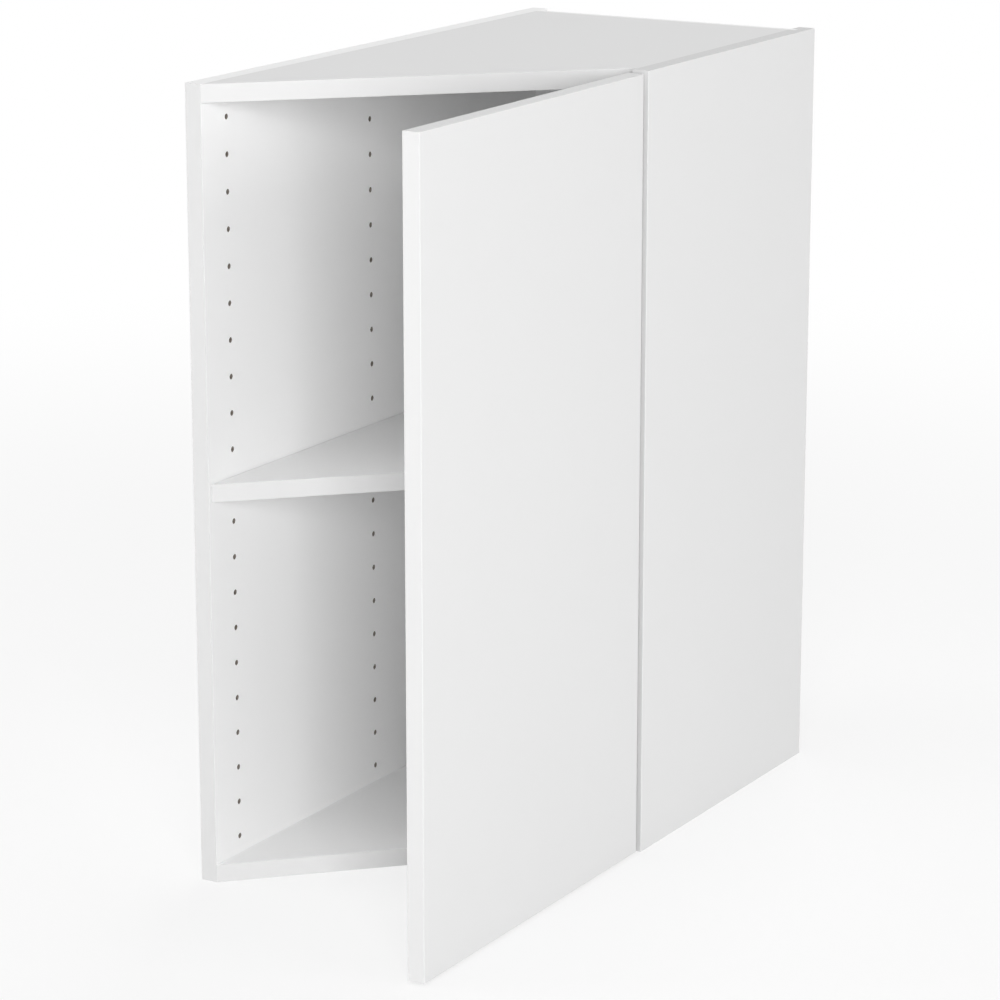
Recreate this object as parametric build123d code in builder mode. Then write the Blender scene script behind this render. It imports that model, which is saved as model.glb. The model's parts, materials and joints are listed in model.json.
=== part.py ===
"""Angled base end cabinet: a floor unit that closes a run of kitchen units at 45 degrees.

The left side is as deep as the run, the right side is shallow, and the top, bottom and shelf
have an angled front edge between them. One door hangs on the shallow side on two concealed
link hinges. It is drawn as in the picture, open until it stands parallel to the sides.
Frame: +Z up, the front faces -Y, +X to the right. The origin is on the underside, in the
middle of the width and of the deep side.
"""
import math
import os

from build123d import *

# Carcass sizes
WIDTH = 300.0
HEIGHT = 704.0
DEEP_SIDE = 580.0
BOARD = 16.0
FRONT_ANGLE = 45.0
SIDE_NOSE = 11.0
EDGE_BAND = 1.0
EDGE_RADIUS = 0.6
REAR_RECESS = 16.0
BACK_BOARD = 6.0
BACK_PLAY = 0.2
GROOVE_DEPTH = 7.0

# Drilled rows
PITCH = 32.0
ROW_INSET = 37.0
ROW_STEPS = 7
HOLE_RADIUS = 2.5
HOLE_DEPTH = 12.0

# Shelf
SHELF_BOARD = 16.0
SHELF_ROW = 11
SHELF_SETBACK = 2.0
SHELF_SIDE_PLAY = 0.5
SHELF_REAR_PLAY = 2.0
PIN_LENGTH = 19.5
PIN_PLAY = 0.05
PIN_TIP_PLAY = 0.5
NOTCH_PLAY = 0.3
NOTCH_LENGTH = 9.0

# Carcass fittings
DOWEL_RADIUS = 4.0
DOWEL_LENGTH = 30.0
DOWEL_IN_SIDE = 11.0
DOWEL_PLAY = 0.05
BORE_END_PLAY = 1.0
DOWEL_OFFSET = 32.0
CAM_RADIUS = 7.5
CAM_HEIGHT = 12.5
CAM_DRIVE_DEPTH = 2.0
DRIVE_SLOT = 1.0
CAM_INSET = 24.0
CAM_PLAY = 0.1
CAM_RECESS = 0.5
CAM_FROM_FRONT = 90.0
CAM_FROM_NOSE = 60.0
CAM_FROM_REAR = 80.0
BOLT_RADIUS = 2.4
BOLT_HEAD_RADIUS = 3.2
BOLT_TUNNEL = 4.0
BACK_SCREW_RADIUS = 1.5
BACK_SCREW_HEAD = 3.0
BACK_SCREW_LENGTH = 25.0
BACK_SCREW_SPACING = 100.0

# Door
DOOR_BOARD = 16.0
DOOR_END_PLAY = 2.0
DOOR_FLUSH = 1.0
DOOR_NOSE_GAP = 6.9
DOOR_OVERLAP = 3.3
DOOR_HINGE_GAP = 20.3
BUMPER_RADIUS = 4.0
BUMPER_HEIGHT = 3.4
BUMPER_INSET = 20.0

# Hinges
UPPER_HINGE_ROW = 2
CUP_RADIUS = 17.5
CUP_DEPTH = 11.8
CUP_FROM_END = 20.5
CUP_PLAY = 0.1
CUP_FLOOR = 1.1
FLANGE = 1.2
FLANGE_LENGTH = 58.0
FLANGE_WIDTH = 22.0
FLANGE_CORNER = 5.0
CUP_SCREW_SPACING = 48.0
CUP_SCREW_OFFSET = 6.0
CUP_SCREW_RADIUS = 1.75
CUP_SCREW_LENGTH = 12.0
SCREW_HEAD_RADIUS = 3.4
SCREW_HEAD = 1.8
SCREW_PLAY = 0.1
POCKET_START = 4.3
POCKET_END = 33.5
LONG_LINK_WIDTH = 6.0
SHORT_LINK_SHEET = 1.5
LINK_SPACE = 0.6
LINK_BAND = 3.0
EYE_RADIUS = 2.3
HINGE_PIN_RADIUS = 1.25
HINGE_PIN_PLAY = 0.05
HINGE_PIN_BITE = 2.0
OPEN_PIVOT_PLAY = 0.3
ARM_SHEET = 1.5
ARM_TOP = 13.5
ARM_REAR = 80.0
ARM_FOOT = 3.0
EAR_RADIUS = 2.9
PLATE_WING = 2.5
PLATE_WING_WIDTH = 12.0
PLATE_WING_LENGTH = 52.0
PLATE_RIB_LENGTH = 44.0
PLATE_RIB_PLAY = 0.3
PLATE_SCREW_DEPTH = 11.0
CLAMP_SCREW_BACK = 38.0
CLAMP_SCREW_RADIUS = 2.5
CLAMP_HEAD_RADIUS = 4.2
CLAMP_HEAD = 2.2
DEPTH_SCREW_BACK = 20.0
DEPTH_SCREW_RADIUS = 2.0
DEPTH_HEAD_RADIUS = 3.2
DEPTH_HEAD = 1.6

# Hinge pivots: the two on the arm from the front inner corner of the shallow side, and the two
# in the cup from the inner end corner of the door
ARM_PIVOT_LONG = (-5.0, 28.6)
ARM_PIVOT_SHORT = (-3.85, 23.4)
CUP_PIVOT_LONG = (5.0, -7.0)
CUP_PIVOT_SHORT = (6.9, -16.3)
# Bends of the two hooked links, from the front inner corner of the shallow side
LONG_LINK_BENDS = ((-14.3, 1.5), (-13.7, -8.0), (-6.0, -17.5))
SHORT_LINK_BENDS = ((-15.6, 1.0), (-15.5, -9.5), (-8.5, -20.5))
BEND_RADIUS = 4.0

# Places worked out from the sizes
half_width = WIDTH / 2
x_in = half_width - BOARD
clear_width = WIDTH - 2 * BOARD
slope = math.tan(math.radians(FRONT_ANGLE))
lean = 1 / math.cos(math.radians(FRONT_ANGLE))
y_front = -DEEP_SIDE / 2
y_rear = DEEP_SIDE / 2
y_front_right = y_front + clear_width * slope
y_nose = y_front_right - SIDE_NOSE
y_back_rear = y_rear - REAR_RECESS
y_back_front = y_back_rear - BACK_BOARD
z_top = HEIGHT - BOARD
row_count = int(HEIGHT / PITCH - 0.5)
row_gap = ROW_STEPS * PITCH

door_length = clear_width * lean + DOOR_OVERLAP - DOOR_HINGE_GAP
x_door_out = half_width - DOOR_FLUSH
x_door_in = x_door_out - DOOR_BOARD
y_door_end = y_nose - DOOR_NOSE_GAP
y_door_free = y_door_end - door_length
z_door_low = DOOR_END_PLAY
door_height = HEIGHT - 2 * DOOR_END_PLAY
y_cup = y_door_end - CUP_FROM_END

half_long = LONG_LINK_WIDTH / 2
short_inner = half_long + LINK_SPACE
short_outer = short_inner + SHORT_LINK_SHEET
wall_inner = short_outer + LINK_SPACE
wall_outer = wall_inner + ARM_SHEET
arm_long = (x_in + ARM_PIVOT_LONG[0], y_nose + ARM_PIVOT_LONG[1])
arm_short = (x_in + ARM_PIVOT_SHORT[0], y_nose + ARM_PIVOT_SHORT[1])
cup_long = (x_door_in + CUP_PIVOT_LONG[0], y_door_end + CUP_PIVOT_LONG[1])
cup_short = (x_door_in + CUP_PIVOT_SHORT[0], y_door_end + CUP_PIVOT_SHORT[1])
y_plate = y_nose + ROW_INSET
x_rib_top = x_in - ARM_TOP + ARM_SHEET


def row_height(row):
    """Height of a drilled hole, counted from the top."""
    return HEIGHT - PITCH * row


def row_places(y_face):
    """Depths of the drilled rows of a side whose front edge is at y_face."""
    first = y_face + ROW_INSET
    count = 1 + int((y_back_front - HOLE_RADIUS - first) / row_gap)
    return [first + row_gap * i for i in range(count)]


hinge_heights = {
    "upper": row_height(UPPER_HINGE_ROW + 0.5),
    "lower": row_height(row_count - UPPER_HINGE_ROW + 0.5),
}
z_shelf = row_height(SHELF_ROW)
left_rows = row_places(y_front)
right_rows = row_places(y_nose)
left_cams = [y_front + CAM_FROM_FRONT, y_rear - CAM_FROM_REAR]
right_cams = [y_front_right + CAM_FROM_NOSE, y_rear - CAM_FROM_REAR]
joint_heights = [BOARD / 2, HEIGHT - BOARD / 2]
back_screw_places = [-BACK_SCREW_SPACING, 0, BACK_SCREW_SPACING]

os.makedirs("parts", exist_ok=True)


def save(piece, name):
    """Label a finished piece and write it out."""
    piece.part.label = name
    export_step(piece.part, f"parts/{name}.step")
    print(f"{name}: {len(piece.part.solids())} solid(s), {piece.part.volume:.0f} mm3")


def angled_outline(side_play, front_offset, rear):
    """Corners of a level board: square sides and rear, angled front."""
    x_left = -x_in + side_play
    x_right = x_in - side_play
    y_line = y_front + front_offset * lean
    return [
        (x_left, y_line + slope * side_play),
        (x_right, y_line + slope * (clear_width - side_play)),
        (x_right, rear),
        (x_left, rear),
    ]


def angled_band(side_play, front_offset):
    """Corners of the edge band in front of such a board."""
    outer = angled_outline(side_play, front_offset, 0)[:2]
    inner = angled_outline(side_play, front_offset + EDGE_BAND, 0)[:2]
    return [outer[0], outer[1], inner[1], inner[0]]


def dowel_places(cams):
    """Each cam has a dowel beside it, towards the middle of the board."""
    front, rear = cams
    return [front + DOWEL_OFFSET, rear - DOWEL_OFFSET]


# Side panels
def side_panel(x_outer, x_inner, y_face, rows, cams, into):
    """A square cut side: drilled rows, groove for the back, holes for bolts and dowels."""
    with BuildPart() as panel:
        with BuildSketch(Plane.XY):
            with Locations(((x_outer + x_inner) / 2, (y_face + EDGE_BAND + y_rear) / 2)):
                Rectangle(abs(x_inner - x_outer), y_rear - y_face - EDGE_BAND)
        extrude(amount=HEIGHT)
        with BuildSketch(Plane.YZ.offset(x_inner)):
            places = [(y, row_height(i + 1)) for y in rows for i in range(row_count)]
            with Locations(*places):
                Circle(HOLE_RADIUS)
        extrude(amount=into * HOLE_DEPTH, mode=Mode.SUBTRACT)
        with BuildSketch(Plane.YZ.offset(x_inner)):
            with Locations(*[(y, z) for y in cams for z in joint_heights]):
                Circle(HOLE_RADIUS)
            with Locations(*[(y, z) for y in dowel_places(cams) for z in joint_heights]):
                Circle(DOWEL_RADIUS)
        extrude(amount=into * HOLE_DEPTH, mode=Mode.SUBTRACT)
        with BuildSketch(Plane.XY):
            groove_width = BACK_BOARD + 2 * BACK_PLAY
            with Locations((x_inner + into * GROOVE_DEPTH / 2, y_back_front + BACK_BOARD / 2)):
                Rectangle(GROOVE_DEPTH, groove_width)
        extrude(amount=HEIGHT, mode=Mode.SUBTRACT)
    return panel


def side_band(x_outer, x_inner, y_face):
    """The edge band on the front of a side panel."""
    with BuildPart() as band:
        with BuildSketch(Plane.XY):
            with Locations(((x_outer + x_inner) / 2, y_face + EDGE_BAND / 2)):
                Rectangle(abs(x_inner - x_outer), EDGE_BAND)
        extrude(amount=HEIGHT)
        front = band.faces().sort_by(Axis.Y)[0]
        fillet(front.edges().filter_by(Axis.Z), EDGE_RADIUS)
    return band


side_left = side_panel(-half_width, -x_in, y_front, left_rows, left_cams, -1)
save(side_left, "side_panel_left")
side_right = side_panel(half_width, x_in, y_nose, right_rows, right_cams, 1)
save(side_right, "side_panel_right")
save(side_band(-half_width, -x_in, y_front), "edge_band_left")
save(side_band(half_width, x_in, y_nose), "edge_band_right")


# Top and bottom panels
def level_panel(z_low):
    """Top or bottom board, bored from below for its cams and from its ends for bolts and dowels."""
    z_mid = z_low + BOARD / 2
    with BuildPart() as panel:
        with BuildSketch(Plane.XY.offset(z_low)):
            Polygon(*angled_outline(0, EDGE_BAND, y_back_front), align=None)
        extrude(amount=BOARD)
        for x_end, cams, inwards in ((-x_in, left_cams, 1), (x_in, right_cams, -1)):
            with BuildSketch(Plane.XY.offset(z_low)):
                with Locations(*[(x_end + inwards * CAM_INSET, y) for y in cams]):
                    Circle(CAM_RADIUS)
            extrude(amount=CAM_HEIGHT, mode=Mode.SUBTRACT)
            with BuildSketch(Plane.YZ.offset(x_end)):
                with Locations(*[(y, z_mid) for y in cams]):
                    Circle(BOLT_TUNNEL)
            extrude(amount=inwards * CAM_INSET, mode=Mode.SUBTRACT)
            with BuildSketch(Plane.YZ.offset(x_end)):
                with Locations(*[(y, z_mid) for y in dowel_places(cams)]):
                    Circle(DOWEL_RADIUS)
            extrude(amount=inwards * (DOWEL_LENGTH - DOWEL_IN_SIDE + BORE_END_PLAY), mode=Mode.SUBTRACT)
        with BuildSketch(Plane.XZ.offset(-y_back_front)):
            with Locations(*[(x, z_mid) for x in back_screw_places]):
                Circle(BACK_SCREW_RADIUS + SCREW_PLAY)
        extrude(amount=BACK_SCREW_LENGTH - BACK_BOARD + BORE_END_PLAY, mode=Mode.SUBTRACT)
    return panel


def level_band(z_low, thickness, side_play, front_offset):
    """The edge band along an angled front."""
    with BuildPart() as band:
        with BuildSketch(Plane.XY.offset(z_low)):
            Polygon(*angled_band(side_play, front_offset), align=None)
        extrude(amount=thickness)
        outward = Vector(math.sin(math.radians(FRONT_ANGLE)), -math.cos(math.radians(FRONT_ANGLE)), 0)
        front = band.faces().sort_by(Axis((0, 0, 0), outward))[-1]
        long_edges = front.edges().sort_by(SortBy.LENGTH)[-2:]
        fillet(long_edges, EDGE_RADIUS)
    return band


save(level_panel(z_top), "top_panel")
save(level_panel(0), "bottom_panel")
save(level_band(z_top, BOARD, 0, 0), "edge_band_top")
save(level_band(0, BOARD, 0, 0), "edge_band_bottom")

# Back panel: it runs in the grooves of the sides and covers the rear edges of top and bottom
with BuildPart() as back:
    with BuildSketch(Plane.XY):
        with Locations((0, y_back_front + BACK_BOARD / 2)):
            Rectangle(clear_width + 2 * (GROOVE_DEPTH - 2 * BACK_PLAY), BACK_BOARD)
    extrude(amount=HEIGHT)
    with BuildSketch(Plane.XZ.offset(-y_back_rear)):
        with Locations(*[(x, z) for x in back_screw_places for z in joint_heights]):
            Circle(BACK_SCREW_RADIUS + SCREW_PLAY)
    extrude(amount=BACK_BOARD, mode=Mode.SUBTRACT)
    rims = back.faces().sort_by(Axis.Y)[-1].edges().filter_by(GeomType.CIRCLE)
    chamfer(rims, BACK_SCREW_HEAD - BACK_SCREW_RADIUS)
save(back, "back_panel")

# Screws through the back into the top and bottom
with BuildPart() as back_screws:
    with BuildSketch(Plane.XZ.offset(-y_back_rear)):
        with Locations(*[(x, z) for x in back_screw_places for z in joint_heights]):
            Circle(BACK_SCREW_RADIUS)
    extrude(amount=BACK_SCREW_LENGTH)
    with BuildSketch(Plane.XZ.offset(-y_back_rear)):
        with Locations(*[(x, z) for x in back_screw_places for z in joint_heights]):
            Circle(BACK_SCREW_HEAD - SCREW_PLAY)
    extrude(amount=BACK_SCREW_HEAD - BACK_SCREW_RADIUS, taper=45)
save(back_screws, "back_screws")

# Shelf, its band and the pins it sits on
shelf_low = z_shelf - SHELF_BOARD / 2
pin_radius = HOLE_RADIUS - PIN_PLAY
notch_radius = pin_radius + NOTCH_PLAY
z_notch = z_shelf - NOTCH_PLAY
shelf_pin_rows = {-1: [left_rows[0], left_rows[-1]], 1: [right_rows[0], right_rows[-1]]}
with BuildPart() as shelf:
    with BuildSketch(Plane.XY.offset(shelf_low)):
        corners = angled_outline(SHELF_SIDE_PLAY, SHELF_SETBACK + EDGE_BAND, y_back_front - SHELF_REAR_PLAY)
        Polygon(*corners, align=None)
    extrude(amount=SHELF_BOARD)
    for side, rows in shelf_pin_rows.items():
        with BuildSketch(Plane.YZ.offset(side * x_in)):
            with Locations(*[(y, z_notch) for y in rows]):
                Circle(notch_radius)
            with Locations(*[(y, (z_notch + shelf_low) / 2) for y in rows]):
                Rectangle(2 * notch_radius, z_notch - shelf_low)
        extrude(amount=-side * NOTCH_LENGTH, mode=Mode.SUBTRACT)
save(shelf, "shelf")
save(level_band(shelf_low, SHELF_BOARD, SHELF_SIDE_PLAY, SHELF_SETBACK), "edge_band_shelf")

with BuildPart() as shelf_pins:
    for side, rows in shelf_pin_rows.items():
        with BuildSketch(Plane.YZ.offset(side * (x_in + HOLE_DEPTH - PIN_TIP_PLAY))):
            with Locations(*[(y, z_shelf) for y in rows]):
                Circle(pin_radius)
        extrude(amount=-side * PIN_LENGTH)
save(shelf_pins, "shelf_pins")

# Dowels between the sides and the level boards
with BuildPart() as dowels:
    for side, cams in ((-1, left_cams), (1, right_cams)):
        with BuildSketch(Plane.YZ.offset(side * (x_in + DOWEL_IN_SIDE))):
            with Locations(*[(y, z) for y in dowel_places(cams) for z in joint_heights]):
                Circle(DOWEL_RADIUS - DOWEL_PLAY)
        extrude(amount=-side * DOWEL_LENGTH)
save(dowels, "dowels")

# Cam housings, set in the underside of each level board, and the bolts that they pull on
with BuildPart() as cams_part:
    for z_low in (0, z_top):
        for side, places in ((-1, left_cams), (1, right_cams)):
            centres = [(side * (x_in - CAM_INSET), y) for y in places]
            with BuildSketch(Plane.XY.offset(z_low + CAM_RECESS)):
                with Locations(*centres):
                    Circle(CAM_RADIUS - CAM_PLAY)
            extrude(amount=CAM_HEIGHT - CAM_RECESS)
            with BuildSketch(Plane.XY.offset(z_low + CAM_RECESS)):
                with Locations(*centres):
                    Rectangle(CAM_RADIUS, DRIVE_SLOT)
                    Rectangle(DRIVE_SLOT, CAM_RADIUS)
            extrude(amount=CAM_DRIVE_DEPTH, mode=Mode.SUBTRACT)
            with BuildSketch(Plane.YZ.offset(side * (x_in - CAM_INSET - BOLT_HEAD_RADIUS - CAM_PLAY))):
                with Locations(*[(y, z_low + BOARD / 2) for y in places]):
                    Circle(BOLT_HEAD_RADIUS + CAM_PLAY)
            extrude(amount=side * (CAM_RADIUS + BOLT_HEAD_RADIUS), mode=Mode.SUBTRACT)
save(cams_part, "cam_housings")

with BuildPart() as bolts:
    for side, places in ((-1, left_cams), (1, right_cams)):
        centres = [(y, z) for y in places for z in joint_heights]
        with BuildSketch(Plane.YZ.offset(side * (x_in + DOWEL_IN_SIDE))):
            with Locations(*centres):
                Circle(BOLT_RADIUS)
        extrude(amount=-side * (DOWEL_IN_SIDE + CAM_INSET))
        with BuildSketch(Plane.YZ.offset(side * (x_in - CAM_INSET + BOLT_HEAD_RADIUS))):
            with Locations(*centres):
                Circle(BOLT_HEAD_RADIUS)
        extrude(amount=-side * (2 * BOLT_HEAD_RADIUS))
        with BuildSketch(Plane.YZ.offset(side * x_in)):
            with Locations(*centres):
                Circle(BOLT_HEAD_RADIUS)
        extrude(amount=-side * BOLT_HEAD_RADIUS)
save(bolts, "cam_bolts")

# Door board and its band
heights = hinge_heights.values()
cup_screw_steps = [-CUP_SCREW_SPACING / 2, CUP_SCREW_SPACING / 2]
cup_screw_centres = [(y_cup - CUP_SCREW_OFFSET, z + dz) for z in heights for dz in cup_screw_steps]
with BuildPart() as door:
    with BuildSketch(Plane.XY.offset(z_door_low + EDGE_BAND)):
        with Locations((x_door_in + DOOR_BOARD / 2, y_door_end - door_length / 2)):
            Rectangle(DOOR_BOARD, door_length - 2 * EDGE_BAND)
    extrude(amount=door_height - 2 * EDGE_BAND)
    with BuildSketch(Plane.YZ.offset(x_door_in)):
        with Locations(*[(y_cup, z) for z in heights]):
            Circle(CUP_RADIUS)
    extrude(amount=CUP_DEPTH, mode=Mode.SUBTRACT)
    with BuildSketch(Plane.YZ.offset(x_door_in)):
        with Locations(*cup_screw_centres):
            Circle(CUP_SCREW_RADIUS + SCREW_PLAY)
    extrude(amount=CUP_SCREW_LENGTH + SCREW_PLAY, mode=Mode.SUBTRACT)
save(door, "door_panel")

with BuildPart() as door_band:
    with BuildSketch(Plane.YZ.offset(x_door_in)):
        with Locations(((y_door_end + y_door_free) / 2, HEIGHT / 2)):
            Rectangle(door_length, door_height)
            Rectangle(door_length - 2 * EDGE_BAND, door_height - 2 * EDGE_BAND, mode=Mode.SUBTRACT)
    extrude(amount=DOOR_BOARD)
    rims = [
        edge
        for face in (door_band.faces().sort_by(Axis.X)[0], door_band.faces().sort_by(Axis.X)[-1])
        for edge in face.outer_wire().edges()
    ]
    fillet(rims, EDGE_RADIUS)
save(door_band, "door_edge_band")

# Soft dots that the door closes against
with BuildPart() as bumpers:
    with BuildSketch(Plane.YZ.offset(x_door_in)):
        with Locations(*[(y_door_free + BUMPER_INSET, z) for z in joint_heights]):
            Circle(BUMPER_RADIUS)
    extrude(amount=-BUMPER_HEIGHT)
    crowns = bumpers.faces().filter_by(Axis.X).group_by(Axis.X)[0].edges()
    fillet(crowns, BUMPER_HEIGHT / 2)
save(bumpers, "door_bumpers")


# Hinge pieces, each made once for the upper and once for the lower hinge
def hinge_cup(z):
    """Cup pressed in the door, with its flange and the slot that the links fold into."""
    with BuildPart() as cup:
        with BuildSketch(Plane.YZ.offset(x_door_in)):
            with Locations((y_cup, z)):
                Circle(CUP_RADIUS - CUP_PLAY)
        extrude(amount=CUP_DEPTH - CUP_PLAY)
        with BuildSketch(Plane.YZ.offset(x_door_in)):
            with Locations((y_cup - CUP_SCREW_OFFSET, z)):
                RectangleRounded(FLANGE_WIDTH, FLANGE_LENGTH, FLANGE_CORNER)
        extrude(amount=-FLANGE)
        with BuildSketch(Plane.YZ.offset(x_door_in - FLANGE)):
            y_mid = y_door_end - (POCKET_START + POCKET_END) / 2
            with Locations((y_mid, z)):
                Rectangle(POCKET_END - POCKET_START, 2 * wall_inner)
        extrude(amount=FLANGE + CUP_DEPTH - CUP_PLAY - CUP_FLOOR, mode=Mode.SUBTRACT)
        with BuildSketch(Plane.YZ.offset(x_door_in - FLANGE)):
            with Locations(*[(y_cup - CUP_SCREW_OFFSET, z + dz) for dz in cup_screw_steps]):
                Circle(CUP_SCREW_RADIUS + SCREW_PLAY)
        extrude(amount=FLANGE, mode=Mode.SUBTRACT)
        with BuildSketch(Plane.XY.offset(z - wall_inner - HINGE_PIN_BITE)):
            with Locations(cup_long, cup_short):
                Circle(HINGE_PIN_RADIUS)
        extrude(amount=2 * (wall_inner + HINGE_PIN_BITE), mode=Mode.SUBTRACT)
    return cup


def long_link(z):
    """Hooked middle link that carries the door."""
    bends = [(x_in + dx, y_nose + dy) for dx, dy in LONG_LINK_BENDS]
    with BuildPart() as link:
        with BuildSketch(Plane.XY.offset(z - half_long)):
            with BuildLine():
                FilletPolyline(arm_long, *bends, cup_long, radius=BEND_RADIUS)
            trace(line_width=LINK_BAND)
            with Locations(arm_long, cup_long):
                Circle(EYE_RADIUS)
            with Locations(arm_long, cup_long):
                Circle(HINGE_PIN_RADIUS + HINGE_PIN_PLAY, mode=Mode.SUBTRACT)
        extrude(amount=LONG_LINK_WIDTH)
    return link


def short_links(z):
    """Pair of hooked sheet links outside the long one, with play at their pin in the cup."""
    bends = [(x_in + dx, y_nose + dy) for dx, dy in SHORT_LINK_BENDS]
    with BuildPart() as link:
        for z_low in (z + short_inner, z - short_outer):
            with BuildSketch(Plane.XY.offset(z_low)):
                with BuildLine():
                    FilletPolyline(arm_short, *bends, cup_short, radius=BEND_RADIUS)
                trace(line_width=LINK_BAND)
                with Locations(arm_short, cup_short):
                    Circle(EYE_RADIUS + OPEN_PIVOT_PLAY)
                with Locations(arm_short):
                    Circle(HINGE_PIN_RADIUS + HINGE_PIN_PLAY, mode=Mode.SUBTRACT)
                with Locations(cup_short):
                    Circle(HINGE_PIN_RADIUS + OPEN_PIVOT_PLAY, mode=Mode.SUBTRACT)
            extrude(amount=SHORT_LINK_SHEET)
    return link


def hinge_arm(z):
    """Channel clamped on the mounting plate; its two ears hold the pins of the links."""
    x_web = x_in - ARM_TOP
    x_foot = x_in - ARM_FOOT
    y_rear_end = y_nose + ARM_REAR
    y_web = arm_long[1] + EAR_RADIUS + LINK_SPACE
    with BuildPart() as arm:
        for z_low in (z + wall_inner, z - wall_outer):
            with BuildSketch(Plane.XY.offset(z_low)):
                Polygon(
                    (x_web, y_rear_end),
                    (x_web, y_web),
                    (arm_short[0] - EAR_RADIUS, arm_short[1]),
                    (arm_short[0], arm_short[1] - EAR_RADIUS),
                    (x_foot, arm_short[1]),
                    (x_foot, y_rear_end),
                    align=None,
                )
                with Locations(arm_short):
                    Circle(EAR_RADIUS)
                with Locations(arm_long, arm_short):
                    Circle(HINGE_PIN_RADIUS, mode=Mode.SUBTRACT)
            extrude(amount=ARM_SHEET)
        with BuildSketch(Plane.XY.offset(z - wall_outer)):
            with Locations((x_web + ARM_SHEET / 2, (y_web + y_rear_end) / 2)):
                Rectangle(ARM_SHEET, y_rear_end - y_web)
        extrude(amount=2 * wall_outer)
        with BuildSketch(Plane.YZ.offset(x_web)):
            with Locations((y_plate + CLAMP_SCREW_BACK, z)):
                Circle(CLAMP_SCREW_RADIUS + SCREW_PLAY)
            with Locations((y_plate + DEPTH_SCREW_BACK, z)):
                Circle(DEPTH_SCREW_RADIUS + SCREW_PLAY)
        extrude(amount=ARM_SHEET, mode=Mode.SUBTRACT)
    return arm


def mounting_plate(z):
    """Plate screwed to the shallow side: two wings and the rib that the arm sits on."""
    y_rib = arm_long[1] + EAR_RADIUS + LINK_SPACE
    with BuildPart() as plate:
        with BuildSketch(Plane.YZ.offset(x_in)):
            with Locations((y_plate, z)):
                RectangleRounded(PLATE_WING_WIDTH, PLATE_WING_LENGTH, PLATE_WING_WIDTH / 2 - 0.5)
            with Locations((y_rib + PLATE_RIB_LENGTH / 2, z)):
                Rectangle(PLATE_RIB_LENGTH, 2 * (wall_inner - PLATE_RIB_PLAY))
        extrude(amount=-PLATE_WING)
        with BuildSketch(Plane.YZ.offset(x_in)):
            with Locations((y_rib + PLATE_RIB_LENGTH / 2, z)):
                Rectangle(PLATE_RIB_LENGTH, 2 * (wall_inner - PLATE_RIB_PLAY))
        extrude(amount=x_rib_top - x_in)
        with BuildSketch(Plane.YZ.offset(x_rib_top)):
            with Locations((y_plate + CLAMP_SCREW_BACK, z)):
                Circle(CLAMP_SCREW_RADIUS)
            with Locations((y_plate + DEPTH_SCREW_BACK, z)):
                Circle(DEPTH_SCREW_RADIUS)
        extrude(amount=(x_in - x_rib_top) / 2, mode=Mode.SUBTRACT)
        with BuildSketch(Plane.YZ.offset(x_in)):
            with Locations((y_plate, z - PITCH / 2), (y_plate, z + PITCH / 2)):
                Circle(HOLE_RADIUS)
        extrude(amount=-PLATE_WING, mode=Mode.SUBTRACT)
    return plate


for place, z_hinge in hinge_heights.items():
    save(hinge_cup(z_hinge), f"hinge_cup_{place}")
    save(long_link(z_hinge), f"hinge_long_link_{place}")
    save(short_links(z_hinge), f"hinge_short_links_{place}")
    save(hinge_arm(z_hinge), f"hinge_arm_{place}")
    save(mounting_plate(z_hinge), f"hinge_plate_{place}")


def round_bars(centres, z_spans, radius):
    """Pins along Z at each centre, one for each span of height."""
    with BuildPart() as bars:
        for low, high in z_spans:
            with BuildSketch(Plane.XY.offset(low)):
                with Locations(*centres):
                    Circle(radius)
            extrude(amount=high - low)
    return bars


arm_spans = [(z - wall_outer, z + wall_outer) for z in heights]
rivet_spans = [
    span
    for z in heights
    for span in ((z - wall_outer, z - short_inner), (z + short_inner, z + wall_outer))
]
cup_spans = [(z - wall_inner - HINGE_PIN_BITE, z + wall_inner + HINGE_PIN_BITE) for z in heights]
save(round_bars([arm_long], arm_spans, HINGE_PIN_RADIUS), "hinge_arm_pins")
save(round_bars([arm_short], rivet_spans, HINGE_PIN_RADIUS), "hinge_arm_rivets")
save(round_bars([cup_long, cup_short], cup_spans, HINGE_PIN_RADIUS), "hinge_cup_pins")


def screws(x_seat, centres, shank, depth, head, head_height):
    """Round headed screws along X: the head stands on its seat, the shank runs to the right."""
    with BuildPart() as group:
        with BuildSketch(Plane.YZ.offset(x_seat)):
            with Locations(*centres):
                Circle(shank)
        extrude(amount=depth)
        with BuildSketch(Plane.YZ.offset(x_seat)):
            with Locations(*centres):
                Circle(head)
        extrude(amount=-head_height)
        with BuildSketch(Plane.YZ.offset(x_seat - head_height)):
            with Locations(*centres):
                Rectangle(head, DRIVE_SLOT)
                Rectangle(DRIVE_SLOT, head)
        extrude(amount=head_height / 2, mode=Mode.SUBTRACT)
    return group


cup_screws = screws(
    x_door_in - FLANGE,
    cup_screw_centres,
    CUP_SCREW_RADIUS,
    CUP_SCREW_LENGTH,
    SCREW_HEAD_RADIUS,
    SCREW_HEAD,
)
save(cup_screws, "hinge_cup_screws")
plate_screw_centres = [(y_plate, z + dz) for z in heights for dz in (-PITCH / 2, PITCH / 2)]
plate_screws = screws(
    x_in - PLATE_WING,
    plate_screw_centres,
    HOLE_RADIUS - PIN_PLAY,
    PLATE_WING + PLATE_SCREW_DEPTH,
    SCREW_HEAD_RADIUS,
    SCREW_HEAD,
)
save(plate_screws, "hinge_plate_screws")
clamp_centres = [(y_plate + CLAMP_SCREW_BACK, z) for z in heights]
clamp_screws = screws(
    x_in - ARM_TOP,
    clamp_centres,
    CLAMP_SCREW_RADIUS - PIN_PLAY,
    ARM_TOP / 2,
    CLAMP_HEAD_RADIUS,
    CLAMP_HEAD,
)
save(clamp_screws, "hinge_clamp_screws")
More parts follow.
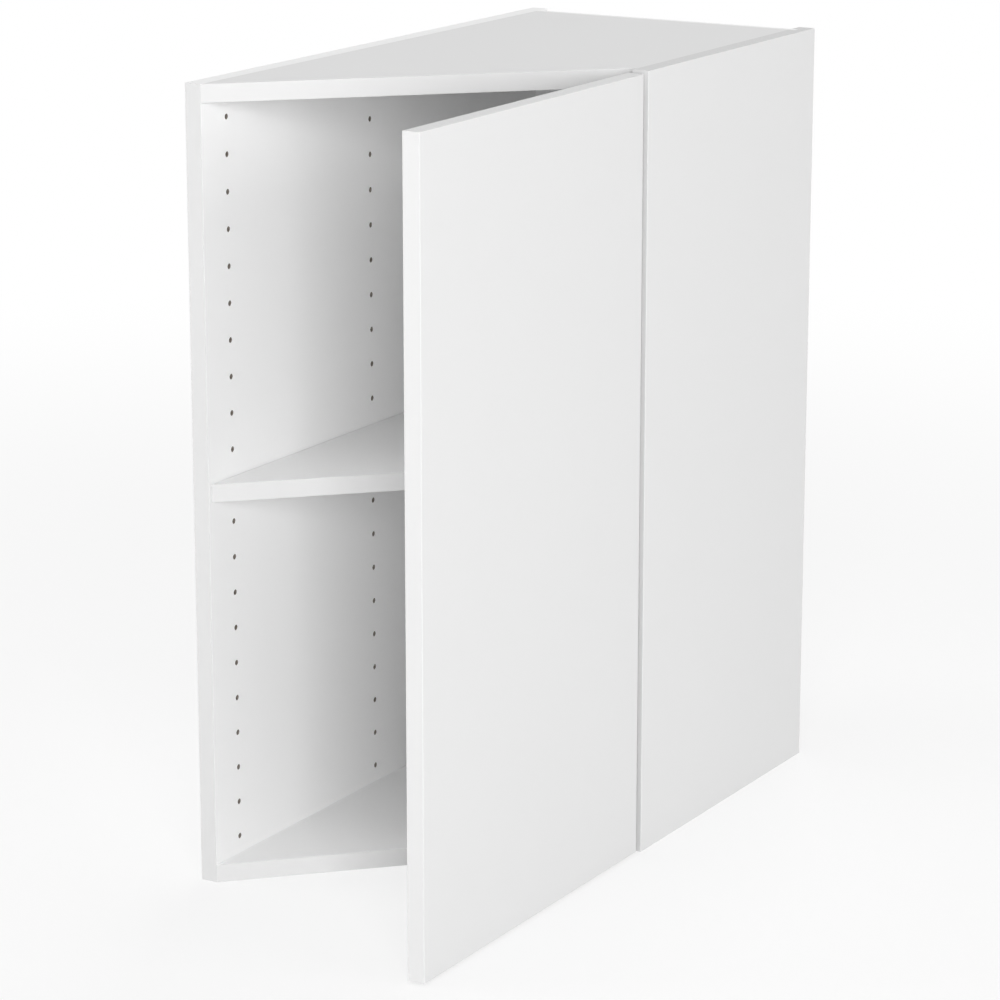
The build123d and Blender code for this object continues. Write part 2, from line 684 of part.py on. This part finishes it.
depth_centres = [(y_plate + DEPTH_SCREW_BACK, z) for z in heights]
depth_screws = screws(
    x_in - ARM_TOP,
    depth_centres,
    DEPTH_SCREW_RADIUS - PIN_PLAY,
    ARM_TOP / 2,
    DEPTH_HEAD_RADIUS,
    DEPTH_HEAD,
)
save(depth_screws, "hinge_depth_screws")
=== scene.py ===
"""Angled base end cabinet: finishes, rounded metal fittings, floor, light and camera.

Metres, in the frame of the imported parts: +Z up, the front faces -Y, +X to the right.
"""
import json
import math

import bpy
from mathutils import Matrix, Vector

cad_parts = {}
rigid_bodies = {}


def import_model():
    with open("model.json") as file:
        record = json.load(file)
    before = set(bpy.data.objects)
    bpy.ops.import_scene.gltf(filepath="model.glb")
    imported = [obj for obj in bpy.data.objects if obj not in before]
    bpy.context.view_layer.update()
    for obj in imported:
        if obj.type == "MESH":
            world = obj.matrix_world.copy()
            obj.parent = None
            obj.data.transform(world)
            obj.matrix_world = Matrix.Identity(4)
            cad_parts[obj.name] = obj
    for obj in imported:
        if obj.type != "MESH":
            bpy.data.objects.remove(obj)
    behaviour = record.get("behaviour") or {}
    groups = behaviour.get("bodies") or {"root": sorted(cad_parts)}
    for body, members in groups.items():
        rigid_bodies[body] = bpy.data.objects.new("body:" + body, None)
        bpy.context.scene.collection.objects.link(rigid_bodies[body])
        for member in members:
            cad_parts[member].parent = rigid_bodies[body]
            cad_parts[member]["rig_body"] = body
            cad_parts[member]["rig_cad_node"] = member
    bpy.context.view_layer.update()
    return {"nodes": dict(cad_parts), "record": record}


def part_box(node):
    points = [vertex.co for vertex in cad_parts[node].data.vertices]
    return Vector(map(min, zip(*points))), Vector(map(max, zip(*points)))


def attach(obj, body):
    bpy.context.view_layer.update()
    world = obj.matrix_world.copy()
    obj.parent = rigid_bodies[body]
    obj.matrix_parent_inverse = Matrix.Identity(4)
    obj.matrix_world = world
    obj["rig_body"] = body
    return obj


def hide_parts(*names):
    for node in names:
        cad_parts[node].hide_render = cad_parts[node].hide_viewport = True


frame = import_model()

nodes = frame["nodes"]

# Whites of the boards, as grey levels. Those that face the lamps are lower: painted shade on the right
# panel, top and door
CARCASS_WHITE = 0.92
RIGHT_PAINTED_SHADE_WHITE = 0.66
TOP_PAINTED_SHADE_WHITE = 0.77
DOOR_PAINTED_SHADE_WHITE = 0.655
# Whites of the edge bands, lower than the boards: painted shade, as their fronts face the key lamp
SIDE_BAND_PAINTED_SHADE_WHITE = 0.615
ANGLED_BAND_PAINTED_SHADE_WHITE = 0.655
DOOR_BAND_PAINTED_SHADE_WHITE = 0.65
# Share of the white that is left where a board or band is darkest
WHITE_DRIFT = 0.985

# Board finish: patterns in repeats per metre, roughness, and the bump's height
PEARL_SCALE = 2600
BOARD_DRIFT_SCALE = 3.5
BOARD_GRIT_SCALE = 420
BOARD_ROUGH = 0.52
BOARD_ROUGH_SPREAD = 0.10
BOARD_BUMP = 0.000012
# Bare chipboard in the bores: depth below a board's surface from which it shows, and its chips
HOLE_SKIN = 0.0004
BARE_ROUGH = 0.4
CHIP_SCALE = 900
CHIP_SHARE = 0.7
GAP_SCALE = 700
GAP_STRETCH = (1, 1, 2.5)
CHIP_COLORS = (
    (0.0, (0.13, 0.11, 0.09)),
    (0.45, (0.20, 0.175, 0.15)),
    (1.0, (0.28, 0.25, 0.22)),
)

# Edge band finish. The front face gets the band's white with painted shade. Behind the skin at its
# front, a band's thin sides match the board
BAND_SKIN = 0.0003
BAND_DRIFT_SCALE = 6
STREAK_SCALE = 260
STREAK_STRETCH = (1, 1, 0.06)
BAND_ROUGH = 0.30
BAND_ROUGH_SPREAD = 0.12
BAND_BUMP = 0.00001

# Finishes of the fittings
BEECH_GRAIN_SCALE = 900
BEECH_STRETCH = (0.08, 1, 1)
DOT_CLOUD_SCALE = 500
METAL_DARKER = 0.88
CLOUD_SCALE = 60
FINE_DENT = 0.00001
CAST_DENT = 0.00003

# Broken edges of the metal fittings
MERGE_DISTANCE = 0.000002
FLAT_ANGLE = 1
SHARP_ANGLE = 35
BREAK_SEGMENTS = 2

# Floor: its radius, its grey where it isn't lit up as white, and the share and reach of the shadow
FLOOR_REACH = 40.0
FLOOR_SIDES = 64
FLOOR_GREY = 0.88
SHADOW_SHARE = 0.3
SHADOW_REACH = (0.9, 2.5)

# Light of the sky, and the lamps around their target: turn from -Y and height above the floor in
# degrees, power, and whether surfaces mirror the lamp
SKY = 0.375
LAMP_TARGET = (0.0, -0.2, 0.4)
LAMP_DISTANCE = 4.6
LAMP_SIZE = 2.2
LAMPS = {
    "key": (34, 12, 158, False),
    "right_fill": (95, 12, 52, False),
    "side_fill": (-65, 15, 62, True),
    "top_fill": (0, 85, 38, False),
    "rear_fill": (190, 30, 40, False),
}

# Camera, fitted to the edges of the cabinet in the photograph. Angles in degrees, lens in mm
CAMERA_PLACE = (1.6294, -2.7926, 1.1494)
CAMERA_TILT = -14.73
CAMERA_TURN = 30.51
LENS = 132.95
CAMERA_REACH = 100


class Val:
    """A shader socket that can be written in sums."""

    def __init__(self, tree, socket):
        self.tree = tree
        self.socket = socket

    def _math(self, operation, *values):
        return self.tree.add("ShaderNodeMath", {"operation": operation}, dict(enumerate(values)))

    def __add__(self, other):
        return self._math("ADD", self, other)

    def __radd__(self, other):
        return self._math("ADD", other, self)

    def __rsub__(self, other):
        return self._math("SUBTRACT", other, self)

    def __mul__(self, other):
        return self._math("MULTIPLY", self, other)

    def __rmul__(self, other):
        return self._math("MULTIPLY", other, self)

    def __pow__(self, other):
        return self._math("POWER", self, other)

    def __gt__(self, other):
        return self._math("GREATER_THAN", self, other)

    def __lt__(self, other):
        return self._math("LESS_THAN", self, other)

    def smooth(self, low, high):
        """0 below low, 1 above high, soft between."""
        settings = {"interpolation_type": "SMOOTHSTEP"}
        return self.tree.add("ShaderNodeMapRange", settings, {0: self, 1: low, 2: high})


class Tree:
    """The nodes of a material or of the world."""

    def __init__(self, owner):
        owner.use_nodes = True
        self.nodes = owner.node_tree.nodes
        self.links = owner.node_tree.links

    def add(self, kind, settings, inputs, output=0):
        """Any node: its type, its settings, its socket values or links, and the output to use."""
        node = self.nodes.new(kind)
        for name, value in settings.items():
            if name == "stops":
                ramp = node.color_ramp
                for i, (at, color) in enumerate(value):
                    stop = ramp.elements[i] if i < 2 else ramp.elements.new(at)
                    stop.position = at
                    stop.color = (*color, 1)
            else:
                setattr(node, name, value)
        for name, value in inputs.items():
            if isinstance(value, Val):
                self.links.new(value.socket, node.inputs[name])
            else:
                node.inputs[name].default_value = value
        if output is None:
            return node
        return Val(self, node.outputs[output])

    def looked_at(self):
        """1 for rays that show a surface: from the camera, a mirror or a clear piece."""
        path = self.add("ShaderNodeLightPath", {}, {}, None)
        kinds = ("Camera", "Glossy", "Transmission")
        camera, mirror, clear = (Val(self, path.outputs[f"Is {kind} Ray"]) for kind in kinds)
        return camera + mirror + clear


class Finish(Tree):
    """One material, with its Principled shader and its Object coordinates."""

    def __init__(self, name):
        self.name = name
        self.material = bpy.data.materials.new(name)
        super().__init__(self.material)
        self.shader = self.nodes["Principled BSDF"]
        self.place = self.add("ShaderNodeTexCoord", {}, {}, "Object")
        axes = self.add("ShaderNodeSeparateXYZ", {}, {0: self.place}, None)
        self.x, self.y, self.z = (Val(self, axes.outputs[i]) for i in range(3))

    def stretched(self, scale):
        """Object coordinates, scaled differently along each axis."""
        return self.add("ShaderNodeMapping", {}, {"Vector": self.place, "Scale": scale}, "Vector")

    def noise(self, scale, detail=3.0, roughness=0.5, place=None):
        inputs = {"Scale": scale, "Detail": detail, "Roughness": roughness}
        inputs["Vector"] = place or self.place
        return self.add("ShaderNodeTexNoise", {}, inputs, "Fac")

    def cells(self, scale, output, place=None):
        """The Distance or the Color of a cell pattern."""
        inputs = {"Vector": place or self.place, "Scale": scale}
        return self.add("ShaderNodeTexVoronoi", {"feature": "F1"}, inputs, output)

    def mix(self, factor, first, second):
        """Colour between two colours."""
        first = first if isinstance(first, Val) else (*first, 1)
        second = second if isinstance(second, Val) else (*second, 1)
        return self.add("ShaderNodeMix", {"data_type": "RGBA"}, {0: factor, 6: first, 7: second}, 2)

    def ramp(self, factor, *stops):
        return self.add("ShaderNodeValToRGB", {"stops": stops}, {0: factor}, "Color")

    def bump(self, height, distance, strength=1.0):
        inputs = {"Height": height, "Distance": distance, "Strength": strength}
        return self.add("ShaderNodeBump", {}, inputs, "Normal")

    def set(self, **sockets):
        """Values or links of the Principled shader, by its socket names in lower case."""
        for name, value in sockets.items():
            socket = self.shader.inputs[name.replace("_", " ").title().replace("Ior", "IOR")]
            if isinstance(value, Val):
                self.links.new(value.socket, socket)
            else:
                socket.default_value = value

    def wear(self, piece):
        """Puts this finish on a piece, in place of what it has."""
        piece.data.materials.clear()
        piece.data.materials.append(self.material)


# Finishes of boards and edge bands
def grey(level):
    return (level, level, level)


def drifting_white(finish, white, scale):
    """A white that gets a little darker in slow, wide patches."""
    return finish.mix(finish.noise(scale, detail=1.0), grey(white), grey(white * WHITE_DRIFT))


def raw_board(finish):
    """Colour of bare chipboard: light chips in all directions, darker gaps."""
    chips = finish.cells(CHIP_SCALE, "Color")
    light = finish.add("ShaderNodeSeparateColor", {}, {0: chips}, 0)
    gaps = finish.cells(GAP_SCALE, "Distance", finish.stretched(GAP_STRETCH))
    return finish.ramp(light * CHIP_SHARE + gaps * (1 - CHIP_SHARE), *CHIP_COLORS)


def inside(finish, low, high, skin):
    """1 where a point lies inside a box by more than the skin."""
    mask = 1
    for value, lowest, highest in zip((finish.x, finish.y, finish.z), low, high):
        mask = mask * (value > lowest + skin) * (value < highest - skin)
    return mask


def melamine(node, white):
    """White melamine: fine pearl texture and a soft sheen. The bores show the board's chips."""
    finish = Finish(node)
    bare = inside(finish, *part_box(node), HOLE_SKIN)
    grit = finish.noise(BOARD_GRIT_SCALE)
    finish.set(
        base_color=finish.mix(bare, drifting_white(finish, white, BOARD_DRIFT_SCALE), raw_board(finish)),
        roughness=grit * BOARD_ROUGH_SPREAD + BOARD_ROUGH + bare * BARE_ROUGH,
        normal=finish.bump(finish.noise(PEARL_SCALE, detail=2.0), BOARD_BUMP, strength=0.6),
    )
    finish.wear(nodes[node])


def edge_band(node, white, board_white, turn):
    """Smooth plastic with faint streaks from trimming. The front, turned from -Y by turn degrees, has
    painted shade.
    """
    finish = Finish(node)
    turn = math.radians(turn)
    front = Vector((math.sin(turn), -math.cos(turn), 0))
    reach = max(front.dot(vertex.co) for vertex in nodes[node].data.vertices)
    # Painted shade: only the face toward the front, which the key lamp lights, gets the band's darker
    # white
    painted_shade_front = finish.x * front.x + finish.y * front.y > reach - BAND_SKIN
    streaks = finish.noise(STREAK_SCALE, detail=2.0, place=finish.stretched(STREAK_STRETCH))
    pearl = finish.noise(PEARL_SCALE, detail=2.0)
    finish.set(
        base_color=finish.mix(painted_shade_front, grey(board_white), drifting_white(finish, white, BAND_DRIFT_SCALE)),
        roughness=BAND_ROUGH + streaks * BAND_ROUGH_SPREAD,
        normal=finish.bump(pearl + streaks, BAND_BUMP, strength=0.5),
    )
    finish.wear(nodes[node])


# The right panel, top and door get lower whites: painted shade against the lamps that face them
melamine("side_panel_left", CARCASS_WHITE)
melamine("side_panel_right", RIGHT_PAINTED_SHADE_WHITE)
melamine("top_panel", TOP_PAINTED_SHADE_WHITE)
melamine("bottom_panel", CARCASS_WHITE)
melamine("shelf", CARCASS_WHITE)
melamine("back_panel", CARCASS_WHITE)
melamine("door_panel", DOOR_PAINTED_SHADE_WHITE)

# Band fronts get lower whites than their boards: painted shade against the key lamp
edge_band("edge_band_left", SIDE_BAND_PAINTED_SHADE_WHITE, CARCASS_WHITE, 0)
edge_band("edge_band_right", SIDE_BAND_PAINTED_SHADE_WHITE, RIGHT_PAINTED_SHADE_WHITE, 0)
edge_band("edge_band_top", ANGLED_BAND_PAINTED_SHADE_WHITE, TOP_PAINTED_SHADE_WHITE, 45)
edge_band("edge_band_bottom", ANGLED_BAND_PAINTED_SHADE_WHITE, CARCASS_WHITE, 45)
edge_band("edge_band_shelf", ANGLED_BAND_PAINTED_SHADE_WHITE, CARCASS_WHITE, 45)
edge_band("door_edge_band", DOOR_BAND_PAINTED_SHADE_WHITE, DOOR_PAINTED_SHADE_WHITE, 0)


# Finishes of the fittings
def beech():
    """Pale dowel wood, with its grain along X."""
    finish = Finish("beech")
    grain = finish.noise(BEECH_GRAIN_SCALE, 4.0, 0.6, finish.stretched(BEECH_STRETCH))
    finish.set(
        base_color=finish.ramp(grain, (0.3, (0.50, 0.33, 0.19)), (0.7, (0.68, 0.50, 0.32))),
        roughness=0.55 + grain * 0.2,
        normal=finish.bump(grain, CAST_DENT),
    )
    return finish


def soft_dot():
    """Clear soft plastic dots."""
    finish = Finish("bumper")
    cloud = finish.noise(DOT_CLOUD_SCALE, detail=2.0)
    finish.set(
        base_color=finish.mix(cloud, (0.80, 0.80, 0.79), (0.70, 0.70, 0.69)),
        roughness=0.22 + cloud * 0.12,
        subsurface_weight=0.2,
        ior=1.45,
    )
    return finish


def metal(name, color, rough, grain_scale, stretch=(1, 1, 1), dent=FINE_DENT):
    """Plated or cast metal: colour and gloss vary a little with a grain."""
    finish = Finish(name)
    grain = finish.noise(grain_scale, roughness=0.6, place=finish.stretched(stretch))
    cloud = finish.noise(CLOUD_SCALE, detail=2.0)
    darker = tuple(channel * METAL_DARKER for channel in color)
    finish.set(
        base_color=finish.mix(cloud, color, darker),
        metallic=1.0,
        roughness=(grain * 0.5 + 0.75) * rough,
        normal=finish.bump(grain, dent, strength=0.5),
    )
    return finish


nickel = metal("nickel_steel", (0.70, 0.69, 0.66), rough=0.22, grain_scale=1500, stretch=(1, 1, 0.15))
die_cast = metal("nickel_die_cast", (0.66, 0.65, 0.62), rough=0.30, grain_scale=900)
zinc_steel = metal("zinc_plated_steel", (0.68, 0.69, 0.71), rough=0.26, grain_scale=1800)
cast_zinc = metal("cast_zinc", (0.50, 0.50, 0.51), rough=0.45, grain_scale=1400, dent=CAST_DENT)

beech().wear(nodes["dowels"])
soft_dot().wear(nodes["door_bumpers"])
cast_zinc.wear(nodes["cam_housings"])
zinc_steel.wear(nodes["back_screws"])
zinc_steel.wear(nodes["cam_bolts"])


# Rounded copies of the metal fittings
def deselect_all():
    bpy.ops.object.select_all(action="DESELECT")


def apply_modifier(piece, name, kind, **settings):
    modifier = piece.modifiers.new(name, kind)
    for setting, value in settings.items():
        setattr(modifier, setting, value)
    bpy.ops.object.modifier_apply(modifier=modifier.name)


def rounded_copy(node, width, finish):
    """A copy of a fitting with its edges broken, standing in for the sharp one."""
    piece = nodes[node].copy()
    piece.data = nodes[node].data.copy()
    piece.name = f"{node}_rounded"
    piece.parent = None
    bpy.context.scene.collection.objects.link(piece)
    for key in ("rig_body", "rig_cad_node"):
        del piece[key]
    deselect_all()
    piece.select_set(True)
    bpy.context.view_layer.objects.active = piece
    bpy.ops.object.mode_set(mode="EDIT")
    bpy.ops.mesh.select_all(action="SELECT")
    bpy.ops.mesh.remove_doubles(threshold=MERGE_DISTANCE)
    bpy.ops.mesh.dissolve_limited(angle_limit=math.radians(FLAT_ANGLE))
    bpy.ops.mesh.select_all(action="DESELECT")
    bpy.ops.object.mode_set(mode="OBJECT")
    sharp = math.radians(SHARP_ANGLE)
    broken = {"width": width, "segments": BREAK_SEGMENTS, "limit_method": "ANGLE", "angle_limit": sharp}
    apply_modifier(piece, "broken edges", "BEVEL", **broken)
    bpy.ops.object.shade_smooth_by_angle(angle=sharp)
    apply_modifier(piece, "flat faces", "WEIGHTED_NORMAL", keep_sharp=True)
    finish.wear(piece)
    return piece


def body_of_node(node):
    for body, members in frame["record"]["behaviour"]["bodies"].items():
        if node in members:
            return body
    raise ValueError(node)


# Width of the broken edges, finish, and the fittings that have them
ROUNDED = (
    (0.00025, die_cast, ("hinge_cup_upper", "hinge_cup_lower")),
    (0.0003, die_cast, ("hinge_plate_upper", "hinge_plate_lower")),
    (0.0003, nickel, ("hinge_arm_upper", "hinge_arm_lower")),
    (0.0002, nickel, ("hinge_long_link_upper", "hinge_long_link_lower")),
    (0.0002, nickel, ("hinge_short_links_upper", "hinge_short_links_lower")),
    (0.0002, nickel, ("hinge_arm_pins", "hinge_arm_rivets", "hinge_cup_pins")),
    (0.0002, zinc_steel, ("hinge_cup_screws", "hinge_plate_screws")),
    (0.0002, zinc_steel, ("hinge_clamp_screws", "hinge_depth_screws")),
    (0.0003, zinc_steel, ("shelf_pins",)),
)
for width, finish, fittings in ROUNDED:
    for node in fittings:
        piece = rounded_copy(node, width, finish)
        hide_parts(node)
        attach(piece, body_of_node(node))


# Floor and background
def floor_finish():
    """Pale floor, white to the eye, that keeps the shadows near the cabinet."""
    finish = Finish("floor")
    distance = (finish.x * finish.x + finish.y * finish.y) ** 0.5
    white = 1 - SHADOW_SHARE * (1 - distance.smooth(*SHADOW_REACH))
    glow = finish.add("ShaderNodeEmission", {}, {"Strength": 1.0})
    matt = finish.add("ShaderNodeBsdfDiffuse", {}, {"Color": (*grey(FLOOR_GREY), 1)})
    blend = finish.add("ShaderNodeMixShader", {}, {0: finish.looked_at() * white, 1: matt, 2: glow})
    finish.links.new(blend.socket, finish.nodes["Material Output"].inputs["Surface"])
    finish.nodes.remove(finish.shader)
    return finish


def lit_sky():
    """World that lights evenly and shows as white."""
    world = bpy.data.worlds.new("studio")
    bpy.context.scene.world = world
    sky = Tree(world)
    sky.nodes.clear()
    light = sky.add("ShaderNodeBackground", {}, {"Color": (1, 1, 1, 1), "Strength": SKY})
    white = sky.add("ShaderNodeBackground", {}, {"Color": (1, 1, 1, 1), "Strength": 1.0})
    blend = sky.add("ShaderNodeMixShader", {}, {0: sky.looked_at(), 1: light, 2: white})
    sky.add("ShaderNodeOutputWorld", {}, {"Surface": blend}, None)


deselect_all()
bpy.ops.mesh.primitive_circle_add(vertices=FLOOR_SIDES, radius=FLOOR_REACH, fill_type="NGON")
floor = bpy.context.object
floor.name = "floor"
floor_finish().wear(floor)
lit_sky()


# Light
def soft_box(name, turn, height, power, mirrored):
    """A square lamp that faces the cabinet and isn't seen itself."""
    lamp = bpy.data.lights.new(name, "AREA")
    lamp.shape = "SQUARE"
    lamp.size = LAMP_SIZE
    lamp.energy = power
    turn, height = math.radians(turn), math.radians(height)
    level = math.cos(height)
    away = Vector((level * math.sin(turn), -level * math.cos(turn), math.sin(height)))
    holder = bpy.data.objects.new(name, lamp)
    holder.location = Vector(LAMP_TARGET) + away * LAMP_DISTANCE
    holder.rotation_euler = away.to_track_quat("Z", "Y").to_euler()
    holder.visible_camera = False
    holder.visible_glossy = mirrored
    bpy.context.scene.collection.objects.link(holder)


for name, lamp in LAMPS.items():
    soft_box(name, *lamp)

# Camera
camera_data = bpy.data.cameras.new("camera")
camera_data.lens = LENS
camera_data.clip_end = CAMERA_REACH
camera = bpy.data.objects.new("camera", camera_data)
camera.location = CAMERA_PLACE
camera.rotation_euler = (math.radians(90 + CAMERA_TILT), 0, math.radians(CAMERA_TURN))
bpy.context.scene.collection.objects.link(camera)
bpy.context.scene.camera = camera

bpy.context.scene.view_settings.view_transform = "Standard"
